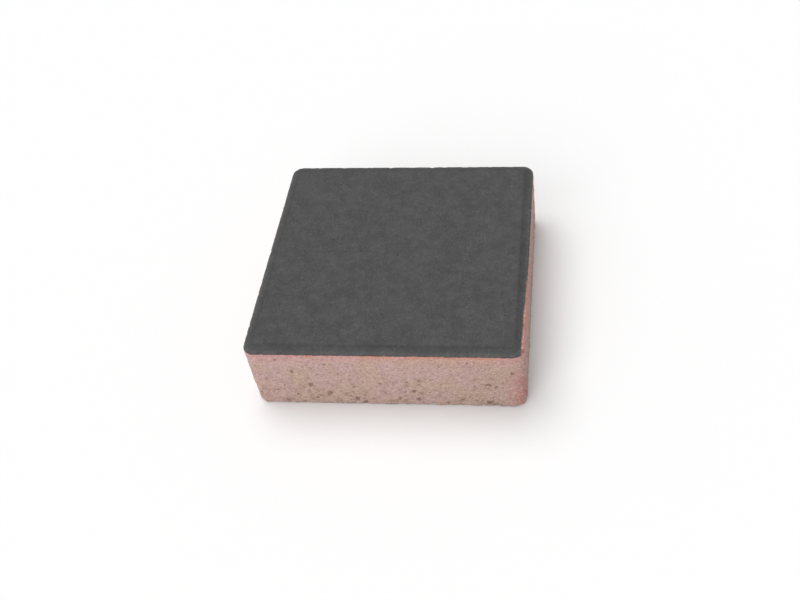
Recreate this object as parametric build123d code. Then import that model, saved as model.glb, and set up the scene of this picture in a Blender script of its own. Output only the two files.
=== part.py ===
from build123d import *
import os

# Square concrete block paver, vibro-pressed in one piece.
# Flat bed face, upright side faces with rounded corners, and a bevel all round the wearing face.
# Millimetres. The origin is the middle of the bed face, +Z points up to the wearing face,
# and X and Y are square to the side faces.

# Overall sizes
length = 200.0  # along X, side face to side face
width = 200.0  # along Y, side face to side face
thickness = 60.0  # bed face to wearing face

# The bevel that the press shoe leaves round the wearing face
bevel_run = 7.0  # from the side face in to the wearing face
bevel_drop = 3.0  # from the wearing face down to the top of the side face
wearing_corner_radius = 1.5  # corners of the flat wearing face, seen from above
arris_radius = 1.0  # soft edges above and below the bevel

# The bevel keeps its run round the corners, so the upright corners share their centres
# with the corners of the wearing face
corner_radius = wearing_corner_radius + bevel_run


def pressed_block():
    with BuildPart() as block:
        with BuildSketch():
            RectangleRounded(length, width, corner_radius)
        extrude(amount=thickness)
    return block.part


def bevel_wearing_face(block):
    wearing_face = block.faces().sort_by(Axis.Z)[-1]
    return chamfer(wearing_face.edges(), length=bevel_run, length2=bevel_drop, reference=wearing_face)


def soften_arrises(block):
    # From the bed up: bed edges, uprights, rim below the bevel, slanting corner edges, rim above it
    levels = block.edges().group_by(Axis.Z)
    rim_above_bevel = levels[-1]
    rim_below_bevel = levels[-3]
    return fillet(rim_above_bevel + rim_below_bevel, arris_radius)


paver = soften_arrises(bevel_wearing_face(pressed_block()))

os.makedirs("parts", exist_ok=True)
export_step(paver, "parts/paver.step")
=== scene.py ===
import math
import random

import bpy
from mathutils import Matrix, Quaternion, Vector, kdtree
from mathutils import noise as placeNoise


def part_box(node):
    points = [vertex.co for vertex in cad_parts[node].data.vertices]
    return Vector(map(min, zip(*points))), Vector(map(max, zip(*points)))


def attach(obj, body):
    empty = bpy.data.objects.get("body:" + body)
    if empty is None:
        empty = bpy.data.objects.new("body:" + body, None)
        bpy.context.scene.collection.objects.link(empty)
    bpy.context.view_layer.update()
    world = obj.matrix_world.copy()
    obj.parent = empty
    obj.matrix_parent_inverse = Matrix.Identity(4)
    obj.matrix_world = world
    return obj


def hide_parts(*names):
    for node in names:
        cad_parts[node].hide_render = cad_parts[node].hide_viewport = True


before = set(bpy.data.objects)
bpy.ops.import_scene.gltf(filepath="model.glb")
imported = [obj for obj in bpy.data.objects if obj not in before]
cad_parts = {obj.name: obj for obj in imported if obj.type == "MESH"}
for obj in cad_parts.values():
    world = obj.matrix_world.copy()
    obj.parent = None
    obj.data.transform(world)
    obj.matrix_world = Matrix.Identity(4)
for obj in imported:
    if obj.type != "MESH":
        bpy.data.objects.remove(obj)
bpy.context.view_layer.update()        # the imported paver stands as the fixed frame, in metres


def smoothStep(low, high, value):
    share = min(1.0, max(0.0, (value - low) / (high - low)))
    return share * share * (3 - 2 * share)


def screenTone(red, green, blue):
    # a colour as a screen shows it, 0 to 255, as Blender's linear colour
    tones = [value / 255 for value in (red, green, blue)]
    return tuple(t / 12.92 if t <= 0.04045 else ((t + 0.055) / 1.055) ** 2.4 for t in tones) + (1,)


def onlyActive(piece):
    bpy.ops.object.select_all(action="DESELECT")
    piece.select_set(True)
    bpy.context.view_layer.objects.active = piece


def applyModifier(piece, modifier):
    onlyActive(piece)
    bpy.ops.object.modifier_apply(modifier=modifier.name)


# The block: one pressing of concrete, as long, wide and thick as the frame's node
block = {
    "bevelRun": 0.007,        # side face in to the wearing face
    "bevelDrop": 0.003,       # wearing face down to the top of the side face
    "cornerRadius": 0.0085,   # upright corners
    "cornerSteps": 12,
    "topNormal": 0.9,         # a face that looks up more than this is the top
    "voxel": 0.00108,         # spacing of the cast surface's mesh
    "softenTurns": 1,         # rounds the arrises as a pressed edge is
    "softenShare": 0.5,
    "bedWeight": 0.5,         # a point that is bed by more than this counts as bed
    "bedKeep": 0.35,          # share of the mesh that the hidden bed keeps
    "bedPull": 10,            # how hard the thinning is drawn to the bed
}
blockLow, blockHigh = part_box("paver")
sideTop = blockHigh.z - block["bevelDrop"]


def selectEdges(piece, wanted):
    bpy.ops.mesh.select_all(action="DESELECT")
    bpy.ops.object.mode_set(mode="OBJECT")
    for edge in piece.data.edges:
        start, end = (piece.data.vertices[v].co for v in edge.vertices)
        edge.select = wanted(start, end)
    bpy.ops.object.mode_set(mode="EDIT")


def selectFaces(piece, wanted):
    bpy.ops.mesh.select_all(action="DESELECT")
    bpy.ops.object.mode_set(mode="OBJECT")
    for face in piece.data.polygons:
        face.select = wanted(face)
    bpy.ops.object.mode_set(mode="EDIT")


def pressBlock():
    middle = (blockLow + blockHigh) / 2
    size = blockHigh - blockLow
    bpy.ops.object.select_all(action="DESELECT")
    bpy.ops.mesh.primitive_cube_add(size=1, location=(middle.x, middle.y, (blockLow.z + sideTop) / 2))
    piece = bpy.context.object
    piece.name = "paverBlock"
    piece.scale = (size.x, size.y, sideTop - blockLow.z)
    bpy.ops.object.transform_apply(location=True, rotation=False, scale=True)

    bpy.ops.object.mode_set(mode="EDIT")
    bpy.ops.mesh.select_mode(type="EDGE")
    selectEdges(piece, lambda start, end: abs(start.z - end.z) > size.z / 2)  # the four uprights
    bpy.ops.mesh.bevel(offset=block["cornerRadius"], segments=block["cornerSteps"], affect="EDGES")
    bpy.ops.mesh.select_mode(type="FACE")
    selectFaces(piece, lambda face: face.normal.z > block["topNormal"])  # raised inside its bevel
    bpy.ops.mesh.inset(thickness=block["bevelRun"], depth=block["bevelDrop"])
    bpy.ops.object.mode_set(mode="OBJECT")

    remesh = piece.modifiers.new("castMesh", "REMESH")
    remesh.mode = "VOXEL"
    remesh.voxel_size = block["voxel"]
    applyModifier(piece, remesh)
    soften = piece.modifiers.new("softArris", "SMOOTH")
    soften.factor = block["softenShare"]
    soften.iterations = block["softenTurns"]
    applyModifier(piece, soften)
    print("block pressed:", len(piece.data.vertices), "points,", len(piece.data.polygons), "faces")
    return piece


# Where each kind of relief lies, as vertex groups by place
zones = {
    "wearingFade": 0.002,     # height over which the top's relief fades in
    "coarseFrom": 0.050,      # height of the smoother band of the sides
    "coarseTo": 0.030,        # below this the sides are open and grainy
    "smoothShare": 0.30,      # what the smoother band keeps of the coarse relief
    "rimReach": 0.0020,       # how far from the upper rim the crumbs reach
    "bedReach": 0.0030,       # and from the bed's edge
    "levelFrom": 0.35,        # upright part of a normal where a side starts to turn into a level face
    "levelTo": 0.75,
}


def plannedInset(x, y):
    # how far inside the block's outline a point lies in plan, rounded corners included
    radius = block["cornerRadius"]
    outX = abs(x) - (blockHigh.x - radius)
    outY = abs(y) - (blockHigh.y - radius)
    if outX > 0 and outY > 0:
        return max(0, radius - math.hypot(outX, outY))
    return max(0, radius - max(outX, outY))


def keepValues(piece, name, values):
    # one number for each point, for the finish to read
    attribute = piece.data.attributes.new(name, "FLOAT", "POINT")
    attribute.data.foreach_set("value", values)


def fillGroup(piece, name, weights):
    group = piece.vertex_groups.new(name=name)
    for index, weight in enumerate(weights):
        if weight > 0:
            group.add([index], weight, "REPLACE")


def markZones(piece):
    names = ("wearing", "sides", "coarse", "bed", "rim", "bedEdge")
    weights = {name: [] for name in names}
    insets = []
    for vertex in piece.data.vertices:
        x, y, z = vertex.co
        inset = plannedInset(x, y)
        upright = 1 - smoothStep(zones["levelFrom"], zones["levelTo"], abs(vertex.normal.z))
        wearing = smoothStep(sideTop - zones["wearingFade"], sideTop, z)
        coarse = 1 - smoothStep(zones["coarseTo"], zones["coarseFrom"], z)
        coarse = zones["smoothShare"] + (1 - zones["smoothShare"]) * coarse
        toRim = math.hypot(inset, z - sideTop)
        toBedEdge = math.hypot(inset, z - blockLow.z)
        weights["wearing"].append(wearing)
        weights["sides"].append(upright * (1 - wearing))
        weights["coarse"].append(upright * (1 - wearing) * coarse)
        weights["bed"].append(smoothStep(zones["levelFrom"], zones["levelTo"], -vertex.normal.z))
        weights["rim"].append(1 - smoothStep(0, zones["rimReach"], toRim))
        weights["bedEdge"].append(1 - smoothStep(0, zones["bedReach"], toBedEdge))
        insets.append(inset)
    for name in names:
        fillGroup(piece, name, weights[name])
    keepValues(piece, "inset", insets)
    print("zones marked:", ", ".join(names))


# Air holes that the press leaves open on the sides and the bed, and chips along the upper rim
airHoles = {
    "seed": 5,
    "perSide": 105,
    "onBed": 160,
    "perRim": 4,
    "smallest": 0.0009,        # radius
    "widest": 0.0023,
    "smallBias": 2,            # makes most holes small
    "bedWiden": 1.3,           # holes of the bed against those of the sides
    "chipRadius": 0.0022,
    "chipSpan": 0.95,          # share of a rim that has chips
    "depth": 0.0016,           # of the widest
    "underRim": 0.004,         # the sides stay whole this far under the rim
    "crowd": 2,                # most small holes beside a larger one
    "crowdReach": (0.8, 1.6),  # their distance, in radii of the larger one
    "crowdSize": 0.6,
    "lowBias": 2.0,            # pulls the holes of a side down to the bed
    "floorShare": 0.25,        # share of a hole that is its level floor
    "raggedness": 0.5,
    "raggedScale": 450,
    "raggedReach": 1.5,        # how far out a ragged hole may go, in radii
}


def scatterHoles(dice):
    def radius():
        spread = dice.random() ** airHoles["smallBias"]
        return airHoles["smallest"] + (airHoles["widest"] - airHoles["smallest"]) * spread

    holes = []
    openHeight = sideTop - blockLow.z - airHoles["underRim"]
    for side in range(4):
        turn = Matrix.Rotation(math.radians(90 * side), 3, "Z")
        for count in range(airHoles["perSide"]):
            along = dice.uniform(blockLow.x, blockHigh.x)
            height = blockLow.z + openHeight * dice.random() ** airHoles["lowBias"]
            size = radius()
            centre = Vector((along, blockLow.y, height))
            holes.append((turn @ centre, size))
            for near in range(dice.randint(0, airHoles["crowd"])):
                angle = dice.uniform(0, math.tau)
                reach = size * dice.uniform(*airHoles["crowdReach"])
                shift = Vector((math.cos(angle), 0, math.sin(angle))) * reach
                holes.append((turn @ (centre + shift), size * airHoles["crowdSize"]))
        for count in range(airHoles["perRim"]):
            along = dice.uniform(blockLow.x, blockHigh.x) * airHoles["chipSpan"]
            chip = Vector((along, blockLow.y, sideTop))
            holes.append((turn @ chip, airHoles["chipRadius"] * dice.random()))
    for count in range(airHoles["onBed"]):
        x = dice.uniform(blockLow.x, blockHigh.x)
        y = dice.uniform(blockLow.y, blockHigh.y)
        holes.append((Vector((x, y, blockLow.z)), radius() * airHoles["bedWiden"]))
    return holes


def sinkHoles(piece):
    points = piece.data.vertices
    tree = kdtree.KDTree(len(points))
    for point in points:
        tree.insert(point.co, point.index)
    tree.balance()
    sunk = [0.0] * len(points)
    holes = scatterHoles(random.Random(airHoles["seed"]))
    for centre, radius in holes:
        for place, index, distance in tree.find_range(centre, radius * airHoles["raggedReach"]):
            ragged = 1 + airHoles["raggedness"] * placeNoise.noise(place * airHoles["raggedScale"])
            bowl = 1 - smoothStep(airHoles["floorShare"], 1.0, distance * ragged / radius)
            sunk[index] = max(sunk[index], bowl * min(1, radius / airHoles["widest"]))
    fillGroup(piece, "airHoles", sunk)
    keepValues(piece, "sunk", sunk)
    sink = piece.modifiers.new("airHoles", "DISPLACE")
    sink.vertex_group = "airHoles"
    sink.mid_level = 0
    sink.strength = -airHoles["depth"]
    applyModifier(piece, sink)
    print("air holes sunk:", len(holes))


# The relief, layer by layer: what was pressed, dragged or torn in the mould.
# A layer with a cut keeps only the peaks of its noise, as hollows or as stones that stand proud.
relief = [
    {"name": "pressWave", "zone": "wearing", "size": 0.060, "detail": 1, "height": 0.0002},
    {"name": "faceGrain", "zone": "wearing", "size": 0.0026, "detail": 0, "height": 0.00008},
    {"name": "sideWave", "zone": "sides", "size": 0.045, "detail": 1, "height": 0.0003},
    {"name": "dragLines", "zone": "sides", "size": 0.0040, "detail": 1, "height": 0.00016,
     "stretch": 22},
    {"name": "sideGrain", "zone": "sides", "size": 0.0034, "kind": "VORONOI", "height": -0.0005},
    {"name": "sideStones", "zone": "coarse", "size": 0.0070, "detail": 1, "height": 0.0004,
     "cut": (0.54, 0.70)},
    {"name": "sideTears", "zone": "coarse", "size": 0.0042, "detail": 2, "height": -0.0006,
     "cut": (0.58, 0.74)},
    {"name": "bedGrain", "zone": "bed", "size": 0.0045, "detail": 1, "height": -0.0006,
     "cut": (0.30, 0.70)},
    {"name": "bedTears", "zone": "bed", "size": 0.0085, "detail": 2, "height": -0.0016,
     "cut": (0.56, 0.70)},
    {"name": "rimCrumbs", "zone": "rim", "size": 0.0036, "detail": 1, "height": -0.0003,
     "cut": (0.50, 0.70)},
    {"name": "bedCrumbs", "zone": "bedEdge", "size": 0.0052, "detail": 2, "height": -0.0003,
     "cut": (0.50, 0.70)},
]


def castRelief(piece):
    for layer in relief:
        texture = bpy.data.textures.new(layer["name"], layer.get("kind", "CLOUDS"))
        texture.noise_scale = layer["size"]
        if "detail" in layer:
            texture.noise_depth = layer["detail"]
        displace = piece.modifiers.new(layer["name"], "DISPLACE")
        displace.texture = texture
        displace.vertex_group = layer["zone"]
        displace.strength = layer["height"]
        displace.mid_level = 0.5                # mid tone stays level
        if "cut" in layer:
            texture.use_color_ramp = True
            bottom, top = texture.color_ramp.elements
            bottom.position, top.position = layer["cut"]
            bottom.color, top.color = (0, 0, 0, 1), (1, 1, 1, 1)
            displace.mid_level = 0.0
        if "stretch" in layer:                  # drawn out in height, as the mould slides off
            bpy.ops.object.empty_add(location=(0, 0, 0))
            slide = bpy.context.object
            slide.scale.z = layer["stretch"]
            displace.texture_coords = "OBJECT"
            displace.texture_coords_object = slide
        applyModifier(piece, displace)
        if "stretch" in layer:
            bpy.data.objects.remove(slide)
        bpy.data.textures.remove(texture)
    print("relief cast:", ", ".join(layer["name"] for layer in relief))


def thinBed(piece):
    # fewer faces where the block lies on its bed
    bed = piece.vertex_groups["bed"].index

    def isBed(point):
        return any(g.group == bed and g.weight > block["bedWeight"] for g in point.groups)

    points = piece.data.vertices
    onBed = sum(1 for point in points if isBed(point))
    thin = piece.modifiers.new("thinBed", "DECIMATE")
    thin.vertex_group = "bed"
    thin.vertex_group_factor = block["bedPull"]
    thin.ratio = 1 - (1 - block["bedKeep"]) * onBed / len(points)
    applyModifier(piece, thin)
    print("bed thinned:", len(piece.data.polygons), "faces")


# Hollows come out dark and ridges light, for the finish to read and paint shade into the hollows with
hollowMarks = {
    "blur": 0.6,
    "blurTurns": 1,
    "darkest": 0.0,           # angle of the deepest hollow
}


def markHollows(piece):
    hollows = piece.data.color_attributes.new("hollows", "FLOAT_COLOR", "CORNER")
    piece.data.color_attributes.active_color = hollows
    onlyActive(piece)
    bpy.ops.paint.vertex_color_dirt(
        blur_strength=hollowMarks["blur"], blur_iterations=hollowMarks["blurTurns"],
        dirt_angle=hollowMarks["darkest"], normalize=False,
    )
    print("hollows marked")


# Nodes for the finish
def addNode(tree, kind, inputs=None, **settings):
    node = tree.nodes.new("ShaderNode" + kind)
    for name, value in settings.items():
        setattr(node, name, value)
    for name, value in (inputs or {}).items():
        if isinstance(value, bpy.types.NodeSocket):
            tree.links.new(value, node.inputs[name])
        else:
            node.inputs[name].default_value = value
    return node


def calc(tree, operation, first, second=0.0, third=0.0):
    return addNode(tree, "Math", {0: first, 1: second, 2: third}, operation=operation).outputs[0]


def centred(tree, value):
    # 0 to 1 becomes as much below zero as above it
    return calc(tree, "SUBTRACT", value, 0.5)


def remap(tree, value, fromSpan, toSpan=(0.0, 1.0)):
    inputs = {
        "Value": value,
        "From Min": fromSpan[0],
        "From Max": fromSpan[1],
        "To Min": toSpan[0],
        "To Max": toSpan[1],
    }
    return addNode(tree, "MapRange", inputs, interpolation_type="SMOOTHSTEP").outputs["Result"]


def blend(tree, factor, first, second, mode="MIX"):
    inputs = {"Fac": factor, "Color1": first, "Color2": second}
    return addNode(tree, "MixRGB", inputs, blend_type=mode).outputs["Color"]


def stain(tree, tone, mark, shown, color):
    # a colour over the tone where the mark is, as strongly as it is shown
    return blend(tree, calc(tree, "MULTIPLY", mark, shown), tone, color)


def clouds(tree, place, scale, detail, roughness):
    inputs = {"Vector": place, "Scale": scale, "Detail": detail, "Roughness": roughness}
    return addNode(tree, "TexNoise", inputs).outputs["Fac"]


def cells(tree, place, scale):
    # how far each point is from the middle of its cell, and three chances for each cell
    found = addNode(tree, "TexVoronoi", {"Vector": place, "Scale": scale}, feature="F1").outputs
    return found["Distance"], addNode(tree, "SeparateColor", {0: found["Color"]}).outputs


def newGroup(name, inputs, outputs):
    tree = bpy.data.node_groups.new(name, "ShaderNodeTree")
    for socket in inputs:
        kind = "NodeSocketVector" if socket == "Place" else "NodeSocketFloat"
        tree.interface.new_socket(socket, in_out="INPUT", socket_type=kind)
    for socket in outputs:
        tree.interface.new_socket(socket, in_out="OUTPUT", socket_type="NodeSocketFloat")
    return tree, tree.nodes.new("NodeGroupInput").outputs, tree.nodes.new("NodeGroupOutput").inputs


# Sand in cement: what the grey and the pinkish mix share
sand = {
    "grains": 820,              # in a metre
    "fineScale": 1.4,           # finer marks that fray each grain's outline, against the grains
    "fineDetail": 2.0,
    "fineRoughness": 0.6,
    "fray": 1.4,                # how far the outline strays, in grains
    "grainSpan": (0.62, 0.34),  # where a grain has ended, and where it is whole, from its middle
    "grainRise": 0.5,           # how far it stands out, against the finer marks
    "ownTone": 0.75,            # tone from grain to grain
    "fineTone": 1.1,            # tone within the grains
    "gapTone": 0.35,            # darker cement between them, partly painted shade and highlight that round each grain
    "paleFrom": 0.88,           # share of the grains that are below the palest ones
    "darkUpTo": 0.12,           # share of the darkest ones
}


def sandGrainGroup():
    inputs = ("Place", "Grains per metre")
    outputs = ("Tone", "Height", "Pale grain", "Dark grain", "Fray")
    tree, into, out = newGroup("sandGrain", inputs, outputs)
    place, grains = into["Place"], into["Grains per metre"]
    fineScale = calc(tree, "MULTIPLY", grains, sand["fineScale"])
    fine = clouds(tree, place, fineScale, sand["fineDetail"], sand["fineRoughness"])
    fray = centred(tree, fine)
    stray = calc(tree, "DIVIDE", calc(tree, "MULTIPLY", fray, sand["fray"]), grains)
    frayed = addNode(tree, "VectorMath", {0: place, 1: stray}, operation="ADD").outputs[0]
    distance, chances = cells(tree, frayed, grains)
    grain = remap(tree, distance, sand["grainSpan"])
    pale = calc(tree, "GREATER_THAN", chances[0], sand["paleFrom"])
    dark = calc(tree, "LESS_THAN", chances[0], sand["darkUpTo"])

    tone = calc(tree, "MULTIPLY", centred(tree, chances[0]), sand["ownTone"])
    tone = calc(tree, "MULTIPLY_ADD", fray, sand["fineTone"], tone)
    tone = calc(tree, "MULTIPLY_ADD", centred(tree, grain), sand["gapTone"], tone)
    tree.links.new(tone, out["Tone"])
    tree.links.new(calc(tree, "MULTIPLY_ADD", grain, sand["grainRise"], fine), out["Height"])
    tree.links.new(calc(tree, "MULTIPLY", grain, pale), out["Pale grain"])
    tree.links.new(calc(tree, "MULTIPLY", grain, dark), out["Dark grain"])
    tree.links.new(fray, out["Fray"])
    return tree


# Spots of uneven size in some of the cells: pores and small stones
spotShape = {
    "sizes": (0.4, 1.0),        # against the radius that is asked for
    "core": 0.65,               # share of a spot inside its soft edge
}


def scatterGroup():
    tree, into, out = newGroup("scatter", ("Place", "Cells per metre", "Share", "Radius"), ("Spot",))
    distance, chances = cells(tree, into["Place"], into["Cells per metre"])
    there = calc(tree, "LESS_THAN", chances[0], into["Share"])
    size = calc(tree, "MULTIPLY", into["Radius"], remap(tree, chances[1], (0, 1), spotShape["sizes"]))
    inside = remap(tree, distance, (size, calc(tree, "MULTIPLY", size, spotShape["core"])))
    tree.links.new(calc(tree, "MULTIPLY", inside, there), out["Spot"])
    return tree


def spots(tree, group, place, kind):
    inputs = {
        "Place": place,
        "Cells per metre": kind["cells"],
        "Share": kind["share"],
        "Radius": kind["radius"],
    }
    return addNode(tree, "Group", inputs, node_tree=group).outputs["Spot"]


# The grey facing mix, on the wearing face and its bevel
facing = {
    "dark": screenTone(71, 71, 71),
    "pale": screenTone(82, 82, 82),
    "cloudNoise": {"scale": 110, "detail": 5.0, "roughness": 0.65},
    "cloudSpan": (0.34, 0.66),
    "sandContrast": 0.23,
    "paleGrain": screenTone(112, 112, 110),
    "paleGrainShown": 0.22,
    # painted shade in the pores of the top
    "pore": screenTone(38, 38, 38),
    "poreShown": 0.60,
    "edge": 0.0561,               # height where the grey ends on the sides
    "edgeBlur": 0.0002,
    "wanderNoise": {"scale": 180, "detail": 3.0, "roughness": 0.55},
    "wander": 0.0012,             # how far that edge strays slowly
    "ragged": 0.0010,             # and grain by grain
    "bareWidth": (0.0024, -0.001),  # body mix on the right bevel: at the front corner, and past its end
    "bareReach": 0.5,             # where it has ended, on the way from the middle to the back
    "bareStray": 1.5,             # how much more its edge strays than the one under the rim
    "bareBlur": 0.0006,
    "bareShown": 0.9,
}
# Painted shade and highlight across the bevel: a darker slope, a darker shade line at its inner edge
# and a lighter arris, by how far inside the outline they fade in and out
bevelTones = [
    {"name": "slope", "fadeOut": (0.0078, 0.0066), "tone": -0.06},
    {"name": "innerLine", "fadeIn": (0.0044, 0.0058), "fadeOut": (0.0082, 0.0070), "tone": -0.12},
    {"name": "lowerArris", "fadeOut": (0.0036, 0.0012), "tone": 0.30},
]


def facingEdge(tree, at):
    # height that has strayed with the sand: the grey ends where it falls under facing["edge"]
    wander = centred(tree, clouds(tree, at["place"], **facing["wanderNoise"]))
    stray = calc(tree, "MULTIPLY", at["fray"], facing["ragged"])
    stray = calc(tree, "MULTIPLY_ADD", wander, facing["wander"], stray)
    return calc(tree, "ADD", at["z"], stray), stray


def facingMask(tree, at):
    blur, bareBlur = facing["edgeBlur"], facing["bareBlur"]
    above = remap(tree, at["edge"], (facing["edge"] - blur, facing["edge"] + blur))
    bareSpan = (blockLow.y, blockHigh.y * facing["bareReach"])
    bareWidth = remap(tree, at["y"], bareSpan, facing["bareWidth"])
    strayed = calc(tree, "MULTIPLY_ADD", at["stray"], facing["bareStray"], at["x"])
    pastBare = calc(tree, "SUBTRACT", calc(tree, "SUBTRACT", blockHigh.x, strayed), bareWidth)
    bare = remap(tree, pastBare, (bareBlur, -bareBlur))
    return calc(tree, "MULTIPLY", above, calc(tree, "MULTIPLY_ADD", bare, -facing["bareShown"], 1.0))


def facingTone(tree, at):
    grey = blend(tree, remap(tree, at["cloud"], facing["cloudSpan"]), facing["dark"], facing["pale"])
    grain = calc(tree, "MULTIPLY_ADD", at["sandTone"], facing["sandContrast"], 1.0)
    grey = blend(tree, 1.0, grey, grain, "MULTIPLY")
    grey = stain(tree, grey, at["paleGrain"], facing["paleGrainShown"], facing["paleGrain"])
    # painted shade in the pores
    grey = stain(tree, grey, at["pore"], facing["poreShown"], facing["pore"])
    # painted shade on the bevel and painted highlight on its arris
    bevel = 1.0
    for row in bevelTones:
        mark = remap(tree, at["inset"], row["fadeOut"])
        if "fadeIn" in row:
            mark = calc(tree, "MULTIPLY", mark, remap(tree, at["inset"], row["fadeIn"]))
        bevel = calc(tree, "MULTIPLY_ADD", mark, row["tone"], bevel)
    return blend(tree, 1.0, grey, bevel, "MULTIPLY")


# The pinkish-buff body mix, on the sides and the bed.
# Two values for how much of a thing is shown are for just under the rim and at the bed,
# unless the line says otherwise.
body = {
    "pink": screenTone(201, 169, 164),
    "beige": screenTone(198, 169, 154),
    "patchNoise": {"scale": 48, "detail": 2.0, "roughness": 0.5},
    "patchSpan": (0.42, 0.58),
    "deep": screenTone(176, 147, 135),
    # the deep tone's growth to the bed is partly painted shade near the floor
    "deepShown": (0.20, 0.95),
    "mottleNoise": {"scale": 150, "detail": 4.0, "roughness": 0.7},
    "mottleSpan": (0.38, 0.72),
    "lowSpan": (0.048, 0.004),     # heights over which the mix turns deeper and coarser
    "rightFrom": -0.02,            # painted shade: the front turns deeper from here to the right, and the right side with it
    "rightShown": 0.45,
    "blush": screenTone(224, 156, 148),
    "blushSpan": (0.010, 0.004),   # how far under the grey the blush starts, and where it is full
    "blushShown": 0.22,            # all along the rim
    "salmon": screenTone(213, 137, 112),  # the line between grey and blush, in beige patches
    "rose": screenTone(214, 147, 145),  # and in pink ones
    "lineDepth": 0.0034,           # height of that line
    "lineShown": 0.68,             # all along the rim
    "cornerRed": screenTone(190, 118, 110),
    "cornerSpan": (0.016, 0.0055),  # where the red starts and where it is full, from a square corner
    "cornerRise": (0.052, 0.022),  # heights over which the red comes in, from above
    "cornerMottle": (0.30, 0.65),
    "cornerShown": (0.20, 0.68),   # on the other corners, and on the one at the front right
    "sandContrast": 0.34,
    "paleGrain": screenTone(222, 201, 190),
    "darkGrain": screenTone(140, 110, 99),
    "grainShown": 0.35,            # all over
    "paleStone": screenTone(216, 194, 182),
    "paleStones": {"cells": 310, "share": 0.16, "radius": 0.42},
    "darkStone": screenTone(144, 114, 103),
    "darkStones": {"cells": 280, "share": 0.14, "radius": 0.42},
    "stonesShown": (0.20, 0.50),
    # painted shade in pores, dips and air holes
    "hollow": screenTone(122, 95, 84),
    "poreShown": (0.25, 0.65),
    "dipSpan": (0.495, 0.445),     # of the marked hollows
    "dipShown": 0.50,
    "holeSpan": (0.16, 0.48),      # of the air holes, from their edge inwards
    "holeFray": 0.35,              # how much the sand frays that edge
    "holeShown": 0.56,
}


def grow(tree, at, span):
    # from the first value under the rim to the second at the bed
    return calc(tree, "MULTIPLY_ADD", at["low"], span[1] - span[0], span[0])


def bodyGround(tree, at):
    # pink and beige patches, and a deeper tone towards the bed, partly the mix's own and partly painted
    # shade near the floor, and painted shade towards the right
    tone = blend(tree, remap(tree, at["patch"], body["patchSpan"]), body["beige"], body["pink"])
    deep = remap(tree, at["mottle"], body["mottleSpan"])
    deep = calc(tree, "MULTIPLY", deep, grow(tree, at, body["deepShown"]))
    right = remap(tree, at["x"], (body["rightFrom"], blockHigh.x), (0.0, body["rightShown"]))
    return blend(tree, calc(tree, "MAXIMUM", deep, right), tone, body["deep"])


def bodyTints(tree, at, tone):
    # a blush under the grey, and the salmon or rose line at the top of it
    blush = remap(tree, at["edge"], [facing["edge"] - depth for depth in body["blushSpan"]])
    tone = stain(tree, tone, blush, body["blushShown"], body["blush"])
    line = remap(tree, at["edge"], (facing["edge"] - body["lineDepth"], facing["edge"]))
    lineTone = blend(tree, remap(tree, at["patch"], body["patchSpan"]), body["salmon"], body["rose"])
    tone = stain(tree, tone, line, body["lineShown"], lineTone)

    # the redder upright corners
    outward = calc(tree, "ADD", calc(tree, "ABSOLUTE", at["x"]), calc(tree, "ABSOLUTE", at["y"]))
    tip = blockHigh.x + blockHigh.y
    corner = remap(tree, outward, [tip - reach for reach in body["cornerSpan"]])
    corner = calc(tree, "MULTIPLY", corner, remap(tree, at["z"], body["cornerRise"]))
    corner = calc(tree, "MULTIPLY", corner, remap(tree, at["mottle"], body["cornerMottle"]))
    frontRight = calc(tree, "SUBTRACT", at["x"], at["y"])
    shown = remap(tree, frontRight, (0, blockHigh.x), body["cornerShown"])
    return stain(tree, tone, corner, shown, body["cornerRed"])


def bodySpecks(tree, at, tone, scatter):
    # sand and stones
    grain = calc(tree, "MULTIPLY_ADD", at["sandTone"], body["sandContrast"], 1.0)
    tone = blend(tree, 1.0, tone, grain, "MULTIPLY")
    for kind in ("paleGrain", "darkGrain"):
        tone = stain(tree, tone, at[kind], body["grainShown"], body[kind])
    for stones, stone in (("paleStones", "paleStone"), ("darkStones", "darkStone")):
        spot = spots(tree, scatter, at["place"], body[stones])
        tone = stain(tree, tone, spot, grow(tree, at, body["stonesShown"]), body[stone])

    # painted shade in pores, dips and air holes
    pore = calc(tree, "MULTIPLY", at["pore"], grow(tree, at, body["poreShown"]))
    dip = calc(tree, "MULTIPLY", remap(tree, at["hollows"], body["dipSpan"]), body["dipShown"])
    sunk = calc(tree, "MULTIPLY_ADD", at["fray"], body["holeFray"], at["sunk"])
    hole = calc(tree, "MULTIPLY", remap(tree, sunk, body["holeSpan"]), body["holeShown"])
    dark = calc(tree, "MAXIMUM", pore, calc(tree, "MAXIMUM", dip, hole))
    return blend(tree, dark, tone, body["hollow"])


# Both mixes on one surface
surface = {
    "pores": {"cells": 250, "share": 0.24, "radius": 0.20},
    "roughness": (0.82, 0.94),
    "roughSpan": (0.3, 0.7),  # of the clouds
    "specular": 0.35,
    "bump": 0.00035,          # depth of the finest grain
    "poreDepth": -0.5,        # against that grain
}


def readSurface(tree, scatter):
    # what the finish goes by at each point
    place = addNode(tree, "TexCoord").outputs["Object"]
    axes = addNode(tree, "SeparateXYZ", {0: place}).outputs
    at = {"place": place, "x": axes["X"], "y": axes["Y"], "z": axes["Z"]}
    for name in ("hollows", "sunk", "inset"):
        at[name] = addNode(tree, "Attribute", attribute_name=name).outputs["Fac"]
    inputs = {"Place": place, "Grains per metre": sand["grains"]}
    grains = addNode(tree, "Group", inputs, node_tree=sandGrainGroup()).outputs
    at.update(sandTone=grains["Tone"], sandHeight=grains["Height"], fray=grains["Fray"])
    at.update(paleGrain=grains["Pale grain"], darkGrain=grains["Dark grain"])
    at["pore"] = spots(tree, scatter, place, surface["pores"])
    at["cloud"] = clouds(tree, place, **facing["cloudNoise"])
    at["patch"] = clouds(tree, place, **body["patchNoise"])
    at["mottle"] = clouds(tree, place, **body["mottleNoise"])
    at["low"] = remap(tree, at["z"], body["lowSpan"])
    at["edge"], at["stray"] = facingEdge(tree, at)
    return at


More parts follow.
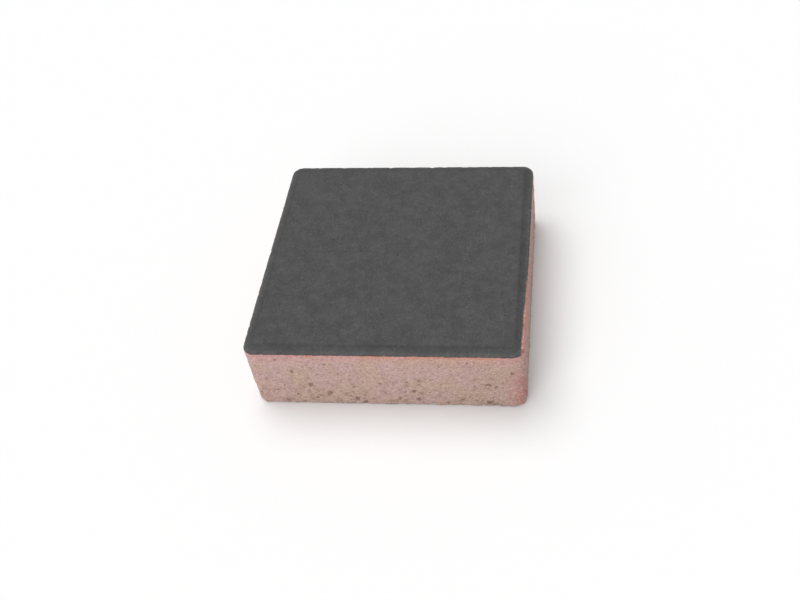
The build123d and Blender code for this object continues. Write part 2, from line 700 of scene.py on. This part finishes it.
def pressedConcrete():
    material = bpy.data.materials.new("pressedConcrete")
    material.use_nodes = True
    tree = material.node_tree
    shader = tree.nodes["Principled BSDF"]
    scatter = scatterGroup()
    at = readSurface(tree, scatter)
    bodyTone = bodySpecks(tree, at, bodyTints(tree, at, bodyGround(tree, at)), scatter)
    tone = blend(tree, facingMask(tree, at), bodyTone, facingTone(tree, at))
    roughness = remap(tree, at["cloud"], surface["roughSpan"], surface["roughness"])
    height = calc(tree, "MULTIPLY_ADD", at["pore"], surface["poreDepth"], at["sandHeight"])
    bump = addNode(tree, "Bump", {"Height": height, "Distance": surface["bump"], "Strength": 1.0})
    tree.links.new(tone, shader.inputs["Base Color"])
    tree.links.new(roughness, shader.inputs["Roughness"])
    tree.links.new(bump.outputs["Normal"], shader.inputs["Normal"])
    shader.inputs["Specular IOR Level"].default_value = surface["specular"]
    print("finish mixed:", len(tree.nodes), "nodes")
    return material


paverBlock = pressBlock()
markZones(paverBlock)
sinkHoles(paverBlock)
castRelief(paverBlock)
thinBed(paverBlock)
markHollows(paverBlock)
onlyActive(paverBlock)
bpy.ops.object.shade_smooth()
paverBlock.data.materials.append(pressedConcrete())
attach(paverBlock, "root")
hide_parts("paver")


# Floor, light and camera
studio = {
    "floorSize": 30.0,
    "floorColor": (0.88, 0.88, 0.88, 1),
    "floorRoughness": 0.9,
    "floorSpecular": 0.1,
    "skyColor": (1.0, 1.0, 1.0, 1),
    "skyLight": 0.41,         # what the sky gives the block
    "skyShown": 0.99,         # and how bright it is behind the floor
    "keyFrom": (-0.27, 0.24, 0.93),
    "keyPower": 1.78,
    "keyAngle": 50,           # degrees, wide for soft shadows
    "fillFrom": (-0.28, -0.78, 0.56),
    "fillPower": 1.10,
    "fillAngle": 50,
    "cameraPlace": (0.1319, -0.5245, 0.5880),
    "cameraAim": (0.0504, -0.0230, 0.0300),
    "cameraRoll": -6.40,      # degrees, clockwise as the camera sees it
    "lens": 44.72,            # millimetres, as the sensor
    "sensor": 36,
    "shift": -0.08,           # the photo is cut from the left of a wider picture
    "nearest": 0.01,          # metres from the camera, where its view starts
}


def layFloor():
    bpy.ops.object.select_all(action="DESELECT")
    bpy.ops.mesh.primitive_plane_add(size=studio["floorSize"], location=(0, 0, 0))
    floor = bpy.context.object
    floor.name = "floor"
    paint = bpy.data.materials.new("paleFloor")
    paint.use_nodes = True
    shader = paint.node_tree.nodes["Principled BSDF"]
    shader.inputs["Base Color"].default_value = studio["floorColor"]
    shader.inputs["Roughness"].default_value = studio["floorRoughness"]
    shader.inputs["Specular IOR Level"].default_value = studio["floorSpecular"]
    floor.data.materials.append(paint)


def hangSun(name, direction, power, angle):
    bpy.ops.object.light_add(type="SUN", location=direction)
    sun = bpy.context.object
    sun.name = name
    sun.data.energy = power
    sun.data.angle = math.radians(angle)
    sun.rotation_euler = (-Vector(direction)).to_track_quat("-Z", "Y").to_euler()


def hangLights():
    world = bpy.data.worlds.new("studio")
    world.use_nodes = True
    tree = world.node_tree
    sky = tree.nodes["Background"]
    sky.inputs["Color"].default_value = studio["skyColor"]
    seen = addNode(tree, "LightPath").outputs["Is Camera Ray"]
    brighter = studio["skyShown"] - studio["skyLight"]
    strength = calc(tree, "MULTIPLY_ADD", seen, brighter, studio["skyLight"])
    tree.links.new(strength, sky.inputs["Strength"])
    bpy.context.scene.world = world
    hangSun("keyLight", studio["keyFrom"], studio["keyPower"], studio["keyAngle"])
    hangSun("fillLight", studio["fillFrom"], studio["fillPower"], studio["fillAngle"])


def placeCamera():
    bpy.ops.object.camera_add(location=studio["cameraPlace"])
    camera = bpy.context.object
    camera.name = "photoCamera"
    camera.data.lens = studio["lens"]
    camera.data.sensor_width = studio["sensor"]
    camera.data.shift_x = studio["shift"]
    camera.data.clip_start = studio["nearest"]
    aim = Vector(studio["cameraAim"]) - camera.location
    level = aim.to_track_quat("-Z", "Y")
    roll = Quaternion((0, 0, 1), math.radians(studio["cameraRoll"]))
    camera.rotation_euler = (level @ roll).to_euler()
    bpy.context.scene.camera = camera


layFloor()
hangLights()
placeCamera()
bpy.context.scene.view_settings.view_transform = "Standard"
print("studio set")
